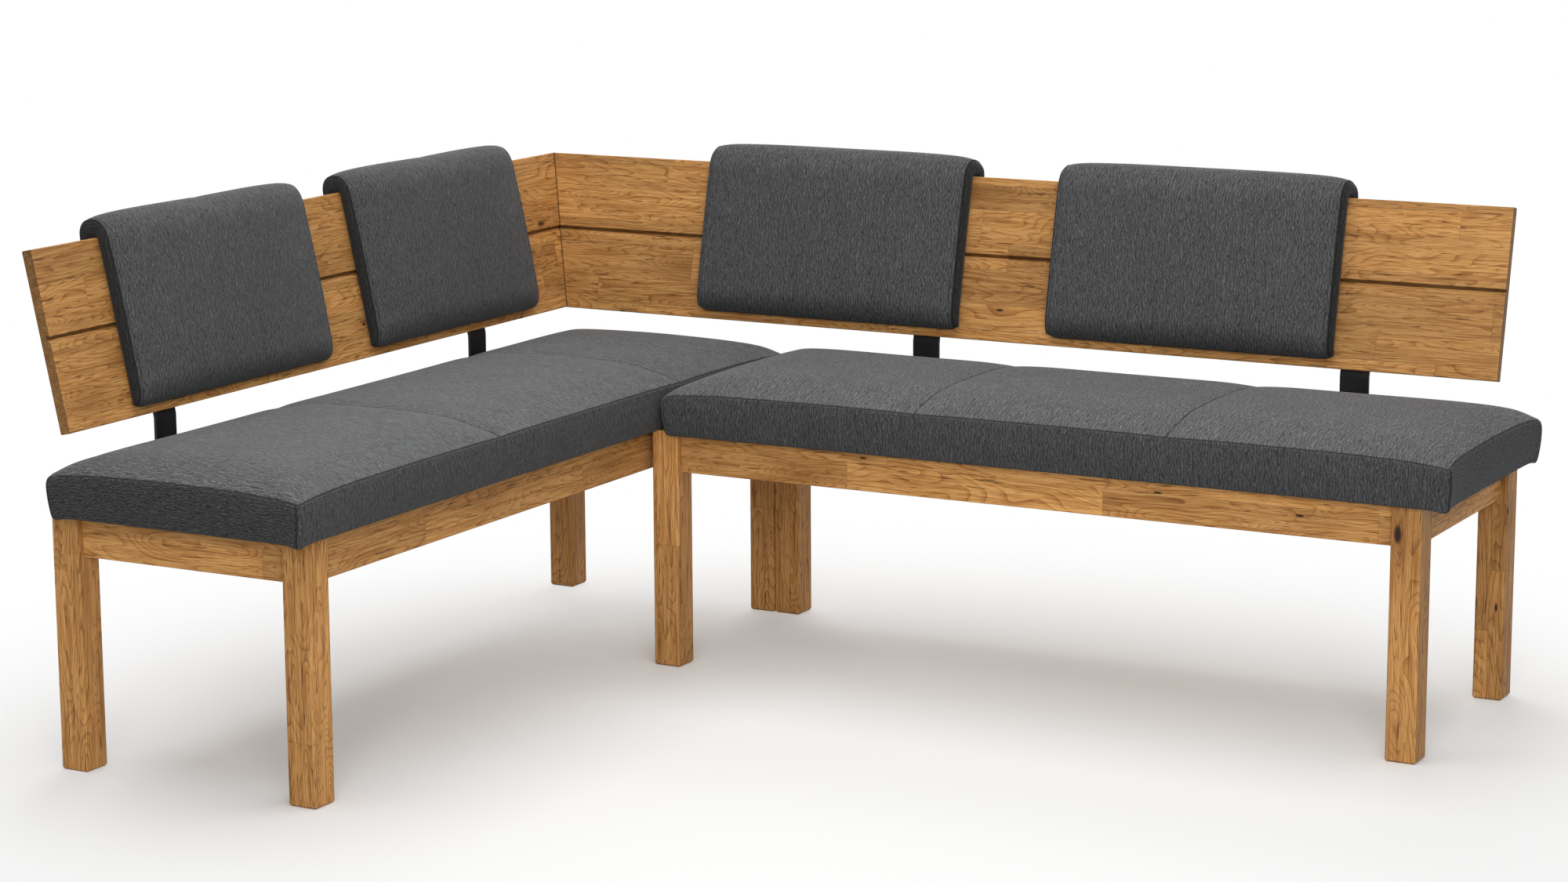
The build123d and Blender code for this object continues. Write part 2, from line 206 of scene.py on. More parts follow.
# how the grain is drawn; a noise has its scales along, across and into the wood, then detail and roughness
grainPlan = {
    "staveWave": (61.0, 0.16),
    "staveShift": 6,
    "staveApart": (3.1, 1.7, 2.3),
    "knots": ((4.2, 11.0, 11.0), 0.55, 0.085),
    "pins": ((9.0, 27.0, 27.0), 0.36, 0.09),
    "heartFull": 0.45,
    "pullReach": (5, 0.3),
    "figure": ((2.3, 14.0, 14.0), 2.0, 0.5, 0.35),
    "knotPull": 0.13,
    "ringCount": 34.0,
    "ringPower": 4.0,
    "ringTone": (0.52, 0.14),
    "fibre": ((15.0, 520.0, 520.0), 3.0, 0.62),
    "lines": ((8.0, 215.0, 215.0), 2.0, 0.6, 0.4),
    "bands": ((4.0, 80.0, 80.0), 2.0, 0.55),
    "weights": (1.15, 1.25, 0.75),
    "stops": (0.0, 0.3, 0.8),
    "pores": ((46.0, 640.0, 640.0), 2.0, 0.5),
    "poreRange": (0.57, 0.66),
    "poreTone": 0.5,
    "streaks": ((17.0, 290.0, 290.0), 2.0, 0.55),
    "streakRange": (0.65, 0.695),
    "streakTone": 0.8,
    "pinStain": 0.6,
    "stain": 0.5,
    "patches": ((2.0, 9.0, 9.0), 2.0, 0.5),
    "patchRange": (0.25, 0.75, 0.88, 1.1),
    "endGrain": (0.6, 0.95),
    "endTone": 0.5,
    "glueWidth": 0.0009,
    "glueTone": 0.7,
    "wornEdge": (0.004, 0.98, 0.86, 1.0),
    "wornTone": 1.14,
    "roughRange": (0.25, 0.75),
    "sunk": {"lines": 0.5, "pores": 0.7, "glue": 0.6},
    "bump": (0.4, 0.0007),
    "shader": {"Specular IOR Level": 0.22},
}


# dark hearts of knots in a share of stretched cells, and how far each pulls the rings round itself
def knots(tree, grain, scales, chance, size):
    stretched = vectorCalc(tree, "MULTIPLY", grain, scales)[0]
    cells = addNode(tree, "ShaderNodeTexVoronoi", {"Vector": stretched, "Scale": 1.0})
    distance = cells.outputs["Distance"]
    cellChance = addNode(tree, "ShaderNodeSeparateColor", {0: cells.outputs["Color"]}).outputs[0]
    knotted = calc(tree, "GREATER_THAN", cellChance, 1 - chance)
    far, near = grainPlan["pullReach"]
    heart = calc(tree, "MULTIPLY", spread(tree, distance, size, size * grainPlan["heartFull"]), knotted)
    pull = calc(tree, "MULTIPLY", spread(tree, distance, size * far, size * near), knotted)
    return heart, pull


def woodMaterial(name, look, along, across, deep, stave, seed, board=None):
    material, tree = startMaterial(name)
    place = addNode(tree, "ShaderNodeTexCoord").outputs
    plan = grainPlan
    width, length = stave

    def measured(axis):
        return vectorCalc(tree, "DOT_PRODUCT", place["Object"], axis)["Value"]

    def times(first, second):
        return calc(tree, "MULTIPLY", first, second)

    def shaded(tone, share, most):
        return times(tone, spread(tree, share, 0.0, 1.0, 1.0, most))

    def within(way, mark, first, last):
        beyond = calc(tree, "SUBTRACT", way, mark)
        return times(spread(tree, beyond, *first), spread(tree, beyond, *last))

    def stained(colour, share, key):
        return mixColour(tree, share, colour, (*look[key], 1))

    # staves: rows across the piece, cut to lengths that start at their own place
    grainWay, acrossWay, deepWay = measured(along), measured(across), measured(deep)
    waves, waveShare = plan["staveWave"]
    uneven = times(calc(tree, "SINE", times(acrossWay, waves)), width * waveShare)
    rows = calc(tree, "DIVIDE", calc(tree, "ADD", acrossWay, uneven), width)
    row = calc(tree, "FLOOR", rows)
    rowInputs = {"W": calc(tree, "ADD", row, seed)}
    rowSeed = addNode(tree, "ShaderNodeTexWhiteNoise", rowInputs, noise_dimensions="1D").outputs["Value"]
    started = calc(tree, "MULTIPLY_ADD", rowSeed, length * plan["staveShift"], grainWay)
    blocks = calc(tree, "DIVIDE", started, length)
    block = calc(tree, "FLOOR", blocks)
    cell = addNode(tree, "ShaderNodeCombineXYZ", {0: row, 1: block, 2: float(seed)}).outputs[0]
    chance = addNode(tree, "ShaderNodeTexWhiteNoise", {"Vector": cell}, noise_dimensions="3D").outputs
    apart = vectorCalc(tree, "MULTIPLY", chance["Color"], plan["staveApart"])[0]
    local = addNode(tree, "ShaderNodeCombineXYZ", {0: grainWay, 1: acrossWay, 2: deepWay}).outputs[0]
    grain = vectorCalc(tree, "ADD", local, apart)[0]

    def layer(key):
        return drawnNoise(tree, grain, *plan[key])

    # knots and pin knots; rings are contour lines of a long soft noise, pulled round the knots
    heart, pull = knots(tree, grain, *plan["knots"])
    pin, pinPull = knots(tree, grain, *plan["pins"])
    warped = calc(tree, "MULTIPLY_ADD", pull, plan["knotPull"], layer("figure"))
    rings = calc(tree, "FRACT", times(warped, plan["ringCount"]))
    late = calc(tree, "POWER", rings, plan["ringPower"])

    # straight grain in three widths
    fibre, lines, bands = layer("fibre"), layer("lines"), layer("bands")
    wander = calc(tree, "MULTIPLY_ADD", late, *plan["ringTone"])
    for strand, weight in zip((fibre, lines, bands), plan["weights"]):
        wander = calc(tree, "MULTIPLY_ADD", calc(tree, "SUBTRACT", strand, 0.5), weight, wander)
    colour = colourRamp(tree, wander, plan["stops"], (look["light"], look["middle"], look["dark"]))

    # pores and short dark streaks run along the grain
    pores = spread(tree, layer("pores"), *plan["poreRange"])
    streaks = spread(tree, layer("streaks"), *plan["streakRange"])
    hearts = calc(tree, "MAXIMUM", heart, pin)
    knotted = calc(tree, "MAXIMUM", pull, times(pinPull, plan["pinStain"]))
    colour = stained(colour, times(pores, plan["poreTone"]), "dark")
    colour = stained(colour, times(streaks, plan["streakTone"]), "streak")
    colour = stained(colour, times(knotted, plan["stain"]), "dark")
    colour = stained(colour, hearts, "knot")

    # each stave has its own tone, and end grain is darker
    tone = spread(tree, chance["Value"], 0.0, 1.0, *look["tones"])
    tone = times(tone, spread(tree, layer("patches"), *plan["patchRange"]))
    facing = vectorCalc(tree, "DOT_PRODUCT", place["Normal"], along)["Value"]
    endGrain = spread(tree, calc(tree, "ABSOLUTE", facing), *plan["endGrain"])
    tone = shaded(tone, endGrain, plan["endTone"])

    # glue lines round the staves, and paler worn edges
    def glueLine(parts, size):
        share = calc(tree, "FRACT", parts)
        edge = calc(tree, "MINIMUM", share, calc(tree, "SUBTRACT", 1.0, share))
        return spread(tree, times(edge, size), 0.0, plan["glueWidth"], 1.0, 0.0)

    glued = calc(tree, "MAXIMUM", glueLine(rows, width), glueLine(blocks, length))
    tone = shaded(tone, glued, plan["glueTone"])
    tone = shaded(tone, wornEdge(tree, *plan["wornEdge"]), plan["wornTone"])

    # on a board the mitre at the corner is a dark line, and the upper flank of the groove gets painted
    # shade
    if board:
        cut = calc(tree, "SUBTRACT", measured((diagonal, diagonal, 0)), sum(roomCorner) * diagonal)
        cut = calc(tree, "ABSOLUTE", cut)
        tone = times(tone, spread(tree, cut, *boardPlan["mitreLine"], boardPlan["mitreTone"], 1.0))
        above = within(acrossWay, board["groove"], *boardPlan["grooveShadeAbove"])
        inside = within(deepWay, board["face"], *boardPlan["grooveShadeInside"])
        tone = shaded(tone, times(above, inside), boardPlan["paintedGrooveShade"])
    colour = toneColour(tree, colour, tone)

    rough = spread(tree, fibre, *plan["roughRange"], *look["rough"])
    depth = calc(tree, "SUBTRACT", times(lines, plan["sunk"]["lines"]), times(pores, plan["sunk"]["pores"]))
    depth = calc(tree, "SUBTRACT", depth, calc(tree, "ADD", streaks, times(glued, plan["sunk"]["glue"])))
    depth = calc(tree, "SUBTRACT", depth, hearts)
    finishSurface(tree, plan, colour, rough, depth)
    return material


# melange upholstery cloth: wavy threads of uneven grey, on the cushion's own UV in metres
clothLook = {
    "colours": ((0.036, 0.037, 0.037), (0.07, 0.071, 0.072), (0.135, 0.137, 0.139)),
    "stops": (0.36, 0.505, 0.68),
    "ridge": ((380.0, 95.0, 1.0), 2.0, 0.55, 1.1),
    "fleck": ((900.0, 330.0, 1.0), 2.0, 0.6),
    "cross": ((150.0, 620.0, 1.0), 1.0, 0.5),
    "mottle": (14.0, 3.0, 0.5),
    "crepe": 1250.0,
    "waver": ((105.0, 72.0, 1.0), 2.0, 0.5),
    "wavering": 20.0,
    "weights": {"crepe": 0.19, "ridge": 0.42, "fleck": 0.28, "cross": 0.12, "mottle": 0.08},
    # how dark the cloth gets where cap is 1, as painted shade; where cap is below zero the same tone paints
    # a highlight
    "capTone": 0.35,
    # painted shade: the dark colour laid along the seam rows for the shade in the seam creases
    "seam": (0.008, 0.009, 0.01, 1),
    "seamShadeRange": (0.3, 0.9, 0.0, 0.9),
    "rough": 0.92,
    "bump": (0.75, 0.0014),
    "shader": {
        "Specular IOR Level": 0.15,
        "Sheen Weight": 0.1,
        "Sheen Roughness": 0.4,
        "Sheen Tint": (0.86, 0.87, 0.88, 1),
    },
}


def clothMaterial(name, look):
    material, tree = startMaterial(name)
    weights = look["weights"]
    sheet = addNode(tree, "ShaderNodeUVMap", uv_map="clothUV").outputs[0]
    waver = drawnNoise(tree, sheet, *look["waver"])
    sideways = addNode(tree, "ShaderNodeSeparateXYZ", {0: sheet}).outputs[0]
    straight = calc(tree, "MULTIPLY", sideways, look["crepe"])
    phase = calc(tree, "MULTIPLY_ADD", waver, look["wavering"], straight)
    crepe = calc(tree, "MULTIPLY_ADD", calc(tree, "SINE", phase), 0.5, 0.5)
    thread = calc(tree, "MULTIPLY", crepe, weights["crepe"])
    for key in ("ridge", "fleck", "cross"):
        thread = calc(tree, "MULTIPLY_ADD", drawnNoise(tree, sheet, *look[key]), weights[key], thread)
    mottle = calc(tree, "SUBTRACT", noise(tree, sheet, *look["mottle"]), 0.5)
    thread = calc(tree, "MULTIPLY_ADD", mottle, weights["mottle"], thread)
    colour = colourRamp(tree, thread, look["stops"], look["colours"])

    # the cushions' cap attribute darkens or lightens the cloth: painted shade on the seat sides, seat ends
    # and pad feet, darker pad end caps and a painted highlight on the seat tops; along the rows where their
    # seams run the cloth gets a painted shade line
    cap = addNode(tree, "ShaderNodeAttribute", attribute_name="cap").outputs["Fac"]
    colour = toneColour(tree, colour, calc(tree, "MULTIPLY_ADD", cap, look["capTone"] - 1, 1.0))
    # painted shade line: the cloth darkens towards the seam colour along the seam rows, and a little along
    # the topstitch rows
    seam = addNode(tree, "ShaderNodeAttribute", attribute_name="seam").outputs["Fac"]
    colour = mixColour(tree, spread(tree, seam, *look["seamShadeRange"]), colour, look["seam"])
    finishSurface(tree, look, colour, look["rough"], thread)
    return material


# sewing thread sunk in the seams
threadLook = {
    "colours": ((0.006, 0.006, 0.007), (0.022, 0.023, 0.025)),
    "stops": (0.3, 0.7),
    "twist": (900.0, 2.0),
    "rough": 0.85,
    "bump": (0.4, 0.0004),
    "shader": {},
}


def threadMaterial(name, look):
    material, tree = startMaterial(name)
    place = addNode(tree, "ShaderNodeTexCoord").outputs["Object"]
    twist = noise(tree, place, *look["twist"])
    colour = colourRamp(tree, twist, look["stops"], look["colours"])
    finishSurface(tree, look, colour, look["rough"], twist)
    return material


# black powder coat with a fine orange-peel skin
coatLook = {
    "colours": ((0.004, 0.004, 0.005), (0.009, 0.009, 0.01)),
    "stops": (0.3, 0.7),
    "peel": (900.0, 2.0, 0.5),
    "cloud": (28.0, 3.0, 0.5),
    "worn": (0.03, 0.03, 0.032, 1),
    "wornEdge": (0.0018, 0.97, 0.8, 0.7),
    "rough": (0.5, 0.62),
    "bump": (0.25, 0.0003),
    "shader": {"Specular IOR Level": 0.25},
}


def coatMaterial(name, look):
    material, tree = startMaterial(name)
    place = addNode(tree, "ShaderNodeTexCoord").outputs["Object"]
    cloud = noise(tree, place, *look["cloud"])
    colour = colourRamp(tree, cloud, look["stops"], look["colours"])
    colour = mixColour(tree, wornEdge(tree, *look["wornEdge"]), colour, look["worn"])
    rough = spread(tree, cloud, *look["stops"], *look["rough"])
    finishSurface(tree, look, colour, rough, noise(tree, place, *look["peel"]))
    return material


# zinc-plated steel, faintly brushed and clouded
zincLook = {
    "colours": ((0.46, 0.47, 0.49), (0.66, 0.67, 0.68)),
    "stops": (0.3, 0.7),
    "brush": ((40.0, 1500.0, 900.0), 2.0),
    "cloud": (160.0, 3.0),
    "rough": (0.28, 0.46),
    "bump": (0.2, 0.0002),
    "shader": {"Metallic": 1.0},
}


def zincMaterial(name, look):
    material, tree = startMaterial(name)
    place = addNode(tree, "ShaderNodeTexCoord").outputs["Object"]
    brush = drawnNoise(tree, place, *look["brush"])
    colour = colourRamp(tree, noise(tree, place, *look["cloud"]), look["stops"], look["colours"])
    rough = spread(tree, brush, *look["stops"], *look["rough"])
    finishSurface(tree, look, colour, rough, brush)
    return material


# where a board's front face lies along its depth, and its groove along its slope
def boardMarks(plan, slope, back, edge):
    return {"face": Vector(back).dot(edge), "groove": Vector(slope).dot(edge) - plan["grooveDown"]}


# stave widths and lengths
stavePlan = {"legs": (0.046, 0.42), "rails": (0.047, 0.46), "boards": (0.052, 0.5), "inner": (0.09, 0.8)}
legs, rails, boards, inner = stavePlan.values()
xWay, yWay, zWay = (1, 0, 0), (0, 1, 0), (0, 0, 1)
legAcross = (diagonal, diagonal, 0)
legDeep = (diagonal, -diagonal, 0)
shortSlope = (0, math.sin(lean), math.cos(lean))
shortBack = (0, math.cos(lean), -math.sin(lean))
shortEdge = Vector((0, roomCorner[1] + boardPlan["topOut"], boardPlan["top"]))
shortMarks = boardMarks(boardPlan, shortSlope, shortBack, shortEdge)
longSlope = (-math.sin(lean), 0, math.cos(lean))
longBack = (-math.cos(lean), 0, -math.sin(lean))
longEdge = Vector((roomCorner[0] - boardPlan["topOut"], 0, boardPlan["top"]))
longMarks = boardMarks(boardPlan, longSlope, longBack, longEdge)
oakLegs = woodMaterial("oakLegs", oakLook, zWay, legAcross, legDeep, legs, 3)
oakAcross = woodMaterial("oakAcross", paintedLightRailLook, xWay, zWay, yWay, rails, 11)
oakAlong = woodMaterial("oakAlong", paintedLightRailLook, yWay, zWay, xWay, rails, 23)
oakShortBoard = woodMaterial("oakShortBoard", oakLook, xWay, shortSlope, shortBack, boards, 31, shortMarks)
oakLongBoard = woodMaterial("oakLongBoard", oakLook, yWay, longSlope, longBack, boards, 47, longMarks)
innerAcross = woodMaterial("innerAcross", innerLook, xWay, yWay, zWay, inner, 59)
innerAlong = woodMaterial("innerAlong", innerLook, yWay, xWay, zWay, inner, 61)
blackCoat = coatMaterial("blackCoat", coatLook)
zincSteel = zincMaterial("zincSteel", zincLook)
greyCloth = clothMaterial("greyCloth", clothLook)
seamThread = threadMaterial("seamThread", threadLook)
print("materials made")


# the finish of a solid by its name; end rails run across their wing
def finishFor(name):
    runsAlong = name.startswith("long")
    if "screws" in name or "plates" in name:
        return zincSteel
    if "leg_" in name:
        return oakLegs
    if name.endswith(("rail_inner", "rail_outer")):
        return oakAcross if runsAlong else oakAlong
    if "_rail_" in name:
        return oakAlong if runsAlong else oakAcross
    if "board" in name:
        return oakLongBoard if runsAlong else oakShortBoard
    if "ledger_" in name or "panel" in name:
        return innerAlong if runsAlong else innerAcross
    return blackCoat if "bracket" in name else greyCloth


for nodeName, solid in cadNodes.items():
    for place in solid.material_slots:
        place.material = finishFor(nodeName)
print("solids dressed")


# turns distances along a wing, out towards its wall, and up into the shared frame
def wingPoints(wing, along, out, up):
    if wing == "long":
        return np.stack([roomCorner[0] - out, roomCorner[1] - along, up], axis=-1)
    return np.stack([roomCorner[0] + along, roomCorner[1] + out, up], axis=-1)


# cushion skins: the share of a panel that its close lines may take, and how far apart panels lie in UV
skinPlan = {"closeShare": 0.45, "panelApart": 3.7}


# grid lines over one sewn panel: close together beside its seams, wider between them
def panelLines(start, end, step, edge):
    edge = [d for d in edge if d < (end - start) * skinPlan["closeShare"]]
    count = max(1, round((end - start - 2 * edge[-1]) / step))
    middle = np.linspace(start + edge[-1], end - edge[-1], count + 1)
    return [start, *(start + d for d in edge[:-1]), *middle, *(end - d for d in reversed(edge[:-1]))]


# a closed skin of quads over a grid of three ways: its grid cells, its faces and the side each face is on
def boxSkin(lines):
    counts = [len(line) for line in lines]
    last = [n - 1 for n in counts]
    index = {}
    cells = []
    for i in range(counts[0]):
        for j in range(counts[1]):
            ks = range(counts[2]) if i in (0, last[0]) or j in (0, last[1]) else (0, last[2])
            for k in ks:
                index[i, j, k] = len(cells)
                cells.append((i, j, k))
    faces = []
    sides = []
    for way in range(3):
        first, second = [n for n in range(3) if n != way]
        for end in (0, last[way]):
            for p in range(last[first]):
                for q in range(last[second]):
                    corners = []
                    for dp, dq in ((0, 0), (1, 0), (1, 1), (0, 1)):
                        cell = [0, 0, 0]
                        cell[way], cell[first], cell[second] = end, p + dp, q + dq
                        corners.append(index[tuple(cell)])
                    faces.append(corners)
                    sides.append((way, first, second))
    return np.array(cells), faces, sides


# True at both ends of the grid along one way
def atEnds(cells, way):
    return (cells[:, way] == 0) | (cells[:, way] == cells[:, way].max())


# builds the skin as a mesh, with UVs in metres whose V runs along the threads
def skinMesh(name, points, faces, sides, measures, seam, hold, cap, topRun=1.0):
    mesh = bpy.data.meshes.new(name)
    mesh.from_pydata(points.tolist(), [], faces)
    uvs = mesh.uv_layers.new(name="clothUV")
    flat = []
    for corners, (way, first, second) in zip(faces, sides):
        u, v = (second, first) if way == 0 else (first, second)
        run = topRun if way == 2 else 1.0
        for corner in corners:
            flat += [measures[corner, u] + skinPlan["panelApart"] * way, measures[corner, v] * run]
    uvs.data.foreach_set("uv", flat)
    # seam marks the seam rows; cap carries the cloth's painted shade and painted highlight
    for key, values in (("seam", seam), ("cap", cap)):
        mesh.attributes.new(key, "FLOAT", "POINT").data.foreach_set("value", values.astype(np.float32))
    shell = bmesh.new()
    shell.from_mesh(mesh)
    bmesh.ops.recalc_face_normals(shell, faces=shell.faces)
    shell.to_mesh(mesh)
    shell.free()
    for polygon in mesh.polygons:
        polygon.use_smooth = True
    piece = bpy.data.objects.new(name, mesh)
    scene.collection.objects.link(piece)
    group = piece.vertex_groups.new(name="held")
    for level in np.unique(hold):
        if level > 0:
            group.add(np.nonzero(hold == level)[0].tolist(), float(level), "REPLACE")
    return piece


# how far a panel has risen at a distance from its seam
def shoulder(distance, reach, power=2.3):
    return 1 - (1 - np.clip(distance / reach, 0, 1)) ** power


# falls off smoothly with distance
def fading(distance, reach):
    return np.exp(-((distance / reach) ** 2))


seatPlan = {
    "seams": {"long": (0.408, 0.971), "short": (0.985, 1.426)},
    "endReach": 0.004,
    "rear": -0.029,
    "front": -0.504,
    "base": 0.410,
    "seamHeight": 0.483,
    "softRise": 0.014,
    "softReach": 0.045,
    "crown": 0.01,
    "crownReach": 0.2,
    "seamPull": 0.14,
    "seamReach": 0.018,
    "seamDip": 0.0012,
    "dipReach": (0.05, 0.03),
    "cornerRound": 0.011,
    "cornerShare": 0.8,
    "cornerDrop": 0.0105,
    "cornerReach": 0.075,
    "topRound": (0.018, 0.004),
    "topPower": 2.4,
    "baseRound": (0.008, 0.002),
    "taper": 0.005,
    "taperPower": 1.3,
    "sideSwell": 0.0015,
    "waistPull": 0.0035,
    "waistPower": 6,
    "earDrop": 0.004,
    "earReach": 0.016,
    "sag": {"long": 0.0015, "short": 0.005},
    "sagReach": 0.011,
    "step": 0.016,
    "edge": (0.0025, 0.007, 0.014, 0.024, 0.037),
    "upLines": (0, 0.0025, 0.006, 0.012, 0.024, 0.038, 0.05, 0.0565, 0.0615, 0.066, 0.07, 0.073),
    "topRun": 0.7,
    # painted highlight on the seat tops, painted shade on the side and end boxing
    "topShade": -0.5,
    "paintedSideShade": 0.38,
    "endShade": 0.64,
    "mostMove": 0.006,
}


# where a seat cushion starts and ends along its wing
def seatSpan(wing, plan):
    low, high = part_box(f"{wing}_seat_cushion")
    if wing == "long":
        return roomCorner[1] - high[1], roomCorner[1] - low[1] + plan["endReach"]
    return low[0] - roomCorner[0], high[0] - roomCorner[0] + plan["endReach"]


def makeSeat(wing, plan):
    start, end = seatSpan(wing, plan)
    seams = plan["seams"][wing]
    marks = [start, *seams, end]
    along = []
    for low, high in zip(marks[:-1], marks[1:]):
        along += panelLines(low, high, plan["step"], plan["edge"])
    along.append(end)
    depth = plan["rear"] - plan["front"]
    across = [*panelLines(0, depth, plan["step"], plan["edge"]), depth]
    side = plan["seamHeight"] - plan["base"]
    lines = [np.array(along), np.array(across), np.array(plan["upLines"])]
    cells, faces, sides = boxSkin(lines)
    a, b, c = (lines[n][cells[:, n]] for n in range(3))

    toEnd = np.minimum(a - start, end - a)
    toSide = np.minimum(b, depth - b)
    toSeam = np.min([np.abs(a - mark) for mark in seams], axis=0)
    share = c / side
    widthway = 2 * b / depth - 1
    lengthway = 2 * (a - start) / (end - start) - 1

    # plan outline: rounded corners, sides a little waisted between them and drawn in below
    radius = plan["cornerRound"]
    cut = radius - np.sqrt(np.maximum(radius**2 - np.maximum(radius - toEnd, 0) ** 2, 0))
    waist = plan["waistPull"] * (1 - lengthway ** plan["waistPower"])
    overTop = np.clip((c - side + plan["topRound"][0]) / plan["topRound"][0], 0, 1)
    underBase = np.clip(1 - c / plan["baseRound"][0], 0, 1)
    inset = plan["topRound"][1] * overTop ** plan["topPower"] + plan["baseRound"][1] * underBase**2
    inset = inset + plan["taper"] * (1 - share) ** plan["taperPower"]
    inset = inset - plan["sideSwell"] * 4 * share * (1 - share)
    half = depth / 2 - cut * plan["cornerShare"] - waist - inset
    out = (plan["rear"] + plan["front"]) / 2 - half * widthway
    endPull = plan["waistPull"] * (1 - widthway ** plan["waistPower"]) + inset
    stretch = a - lengthway * endPull * np.abs(lengthway) ** 3

    # top panel: soft shoulder at the seams, low crown between, drawn down a little at the cross seams
    rise = plan["softRise"] * shoulder(toEnd, plan["softReach"]) * shoulder(toSide, plan["softReach"])
    rise = rise + plan["crown"] * (1 - widthway**2) * shoulder(toEnd, plan["crownReach"])
    rise = rise * (1 - plan["seamPull"] * fading(toSeam, plan["seamReach"]))
    dip = plan["seamDip"] * fading(toSeam, plan["dipReach"][0]) * fading(toSide, plan["dipReach"][1])
    drop = dip + plan["cornerDrop"] * np.exp(-(toEnd + toSide) / plan["cornerReach"])

    # lower edge: hangs a little past the frame at the front and the free end, with an ear at the corners
    toFree = np.minimum(depth - b, end - a)
    sag = plan["sag"][wing] * fading(toFree, plan["sagReach"])
    ear = plan["earDrop"] * fading(end - a, plan["earReach"]) * fading(toSide, plan["earReach"])
    up = plan["base"] + share * (side + rise - drop) - (sag + ear) * (1 - share) ** 2
    points = wingPoints(wing, stretch, out, up)

    onTop = cells[:, 2] == cells[:, 2].max()
    onBase = cells[:, 2] == 0
    atEnd = atEnds(cells, 0)
    atSide = atEnds(cells, 1)
    edged = (onTop | onBase) & (atEnd | atSide) | (atEnd & atSide)
    seam = (edged | onTop & (toSeam < tiny)).astype(float)
    hold = np.maximum(onBase, edged) * 1.0
    # cap: painted shade on the seat's side and end boxing, a painted highlight on its top
    paintedBoxShade = np.maximum(plan["paintedSideShade"] * atSide, plan["endShade"] * atEnd)
    cap = np.where(onTop, plan["topShade"], paintedBoxShade)
    measures = np.stack([a, b, c], axis=-1)
    piece = skinMesh(f"{wing}SeatCushion", points, faces, sides, measures, seam, hold, cap, plan["topRun"])
    piece["mostMove"] = plan["mostMove"]
    return piece


padPlan = {
    "centres": {"long": (0.409, 1.050), "short": (0.586, 1.275)},
    "length": 0.510,
    "play": 0.0008,
    "topPlay": 0.0015,
    "drop": 0.270,
    "flapDrop": 0.062,
    "flapTaper": 0.25,
    "front": {"long": (0.022, 0.033), "short": (0.032, 0.037)},
    "roll": {"long": (0.030, 0.038), "short": (0.030, 0.038)},
    "flap": {"long": (0.016, 0.019), "short": (0.028, 0.031)},
    "swellShares": (0.55, 0.45),
    "swellReach": 0.045,
    "frontSwell": 0.0015,
    "footShare": 0.42,
    "footHeight": 0.036,
    "footStretch": 1.15,
    "rollStart": -0.018,
    "frontArc": 0.075,
    "backArc": 0.055,
    "fullness": 0.82,
    "cornerHeight": 0.03,
    "cornerLift": (0.005, 0.014),
    "capSwell": {"long": 0.003, "short": 0.006},
    "capWidth": 0.03,
    "capLines": 6,
    "step": 0.0105,
    "edge": (0.0024, 0.006, 0.0098, 0.0155, 0.023),
    "topstitch": 0.006,
    "topstitchSeam": 0.6,
    # painted shade along the pad's lower edge: how far round the section it reaches, and its strength
    "paintedFootShade": (0.045, 0.6),
    "mostMove": 0.005,
}


# distances round the section at which its five parts end: foot, front, roll ahead, roll behind and flap
def padEnds(plan):
    foot = plan["footHeight"] * plan["footStretch"]
    straight = plan["drop"] - plan["footHeight"] + plan["rollStart"]
    return np.cumsum([foot, straight, plan["frontArc"], plan["backArc"], plan["flapDrop"]])


# the hanging cushion's section at a share of its way round, for its board side and its outer side
def padSection(plan, way, front, roll, flap):
    faceFront = -plan["play"]
    faceBack = boardPlan["thick"] + plan["play"]
    middle = boardPlan["thick"] / 2
    foot = front * plan["footShare"]
    lift = plan["footHeight"]
    low = -plan["drop"]
    straight = plan["drop"] - lift + plan["rollStart"]
    ends = padEnds(plan)
    starts = np.concatenate([[0], ends[:-1]])
    travel = way * ends[-1]
    part = np.searchsorted(ends[:-1], travel, side="left")
    share = np.clip((travel - starts[part]) / (ends - starts)[part], 0, 1)
    angle = share * math.pi / 2
    full = plan["fullness"]
    early = np.clip(share * 2, 0, 1)
    later = np.clip(share * 2 - 1, 0, 1)
    outerOut = [
        faceFront - foot - (front - foot) * np.sin(angle),
        faceFront - front - plan["frontSwell"] * np.sin(share * math.pi),
        middle - (middle - faceFront + front) * np.cos(angle) ** full,
        middle + (faceBack + flap - middle) * np.sin(angle) ** full,
        faceBack + flap * (1 - plan["flapTaper"] * share**3),
    ]
    outerUp = [
        low + lift * (1 - np.cos(angle)),
        low + lift + straight * share,
        plan["rollStart"] + (roll - plan["rollStart"]) * np.sin(angle) ** full,
        roll * np.cos(angle) ** full,
        -plan["flapDrop"] * share,
    ]
    innerOut = [
        faceFront,
        faceFront,
        faceFront + (middle - faceFront) * later,
        middle + (faceBack - middle) * early,
        faceBack,
    ]
    innerUp = [
        low + lift * share,
        low + lift + straight * share,
        plan["rollStart"] + (plan["topPlay"] - plan["rollStart"]) * early,
        plan["topPlay"] * (1 - later),
        -plan["flapDrop"] * share,
    ]
    innerSide = np.stack([np.choose(part, innerOut), np.choose(part, innerUp)])
    outerSide = np.stack([np.choose(part, outerOut), np.choose(part, outerUp)])
    return innerSide, outerSide


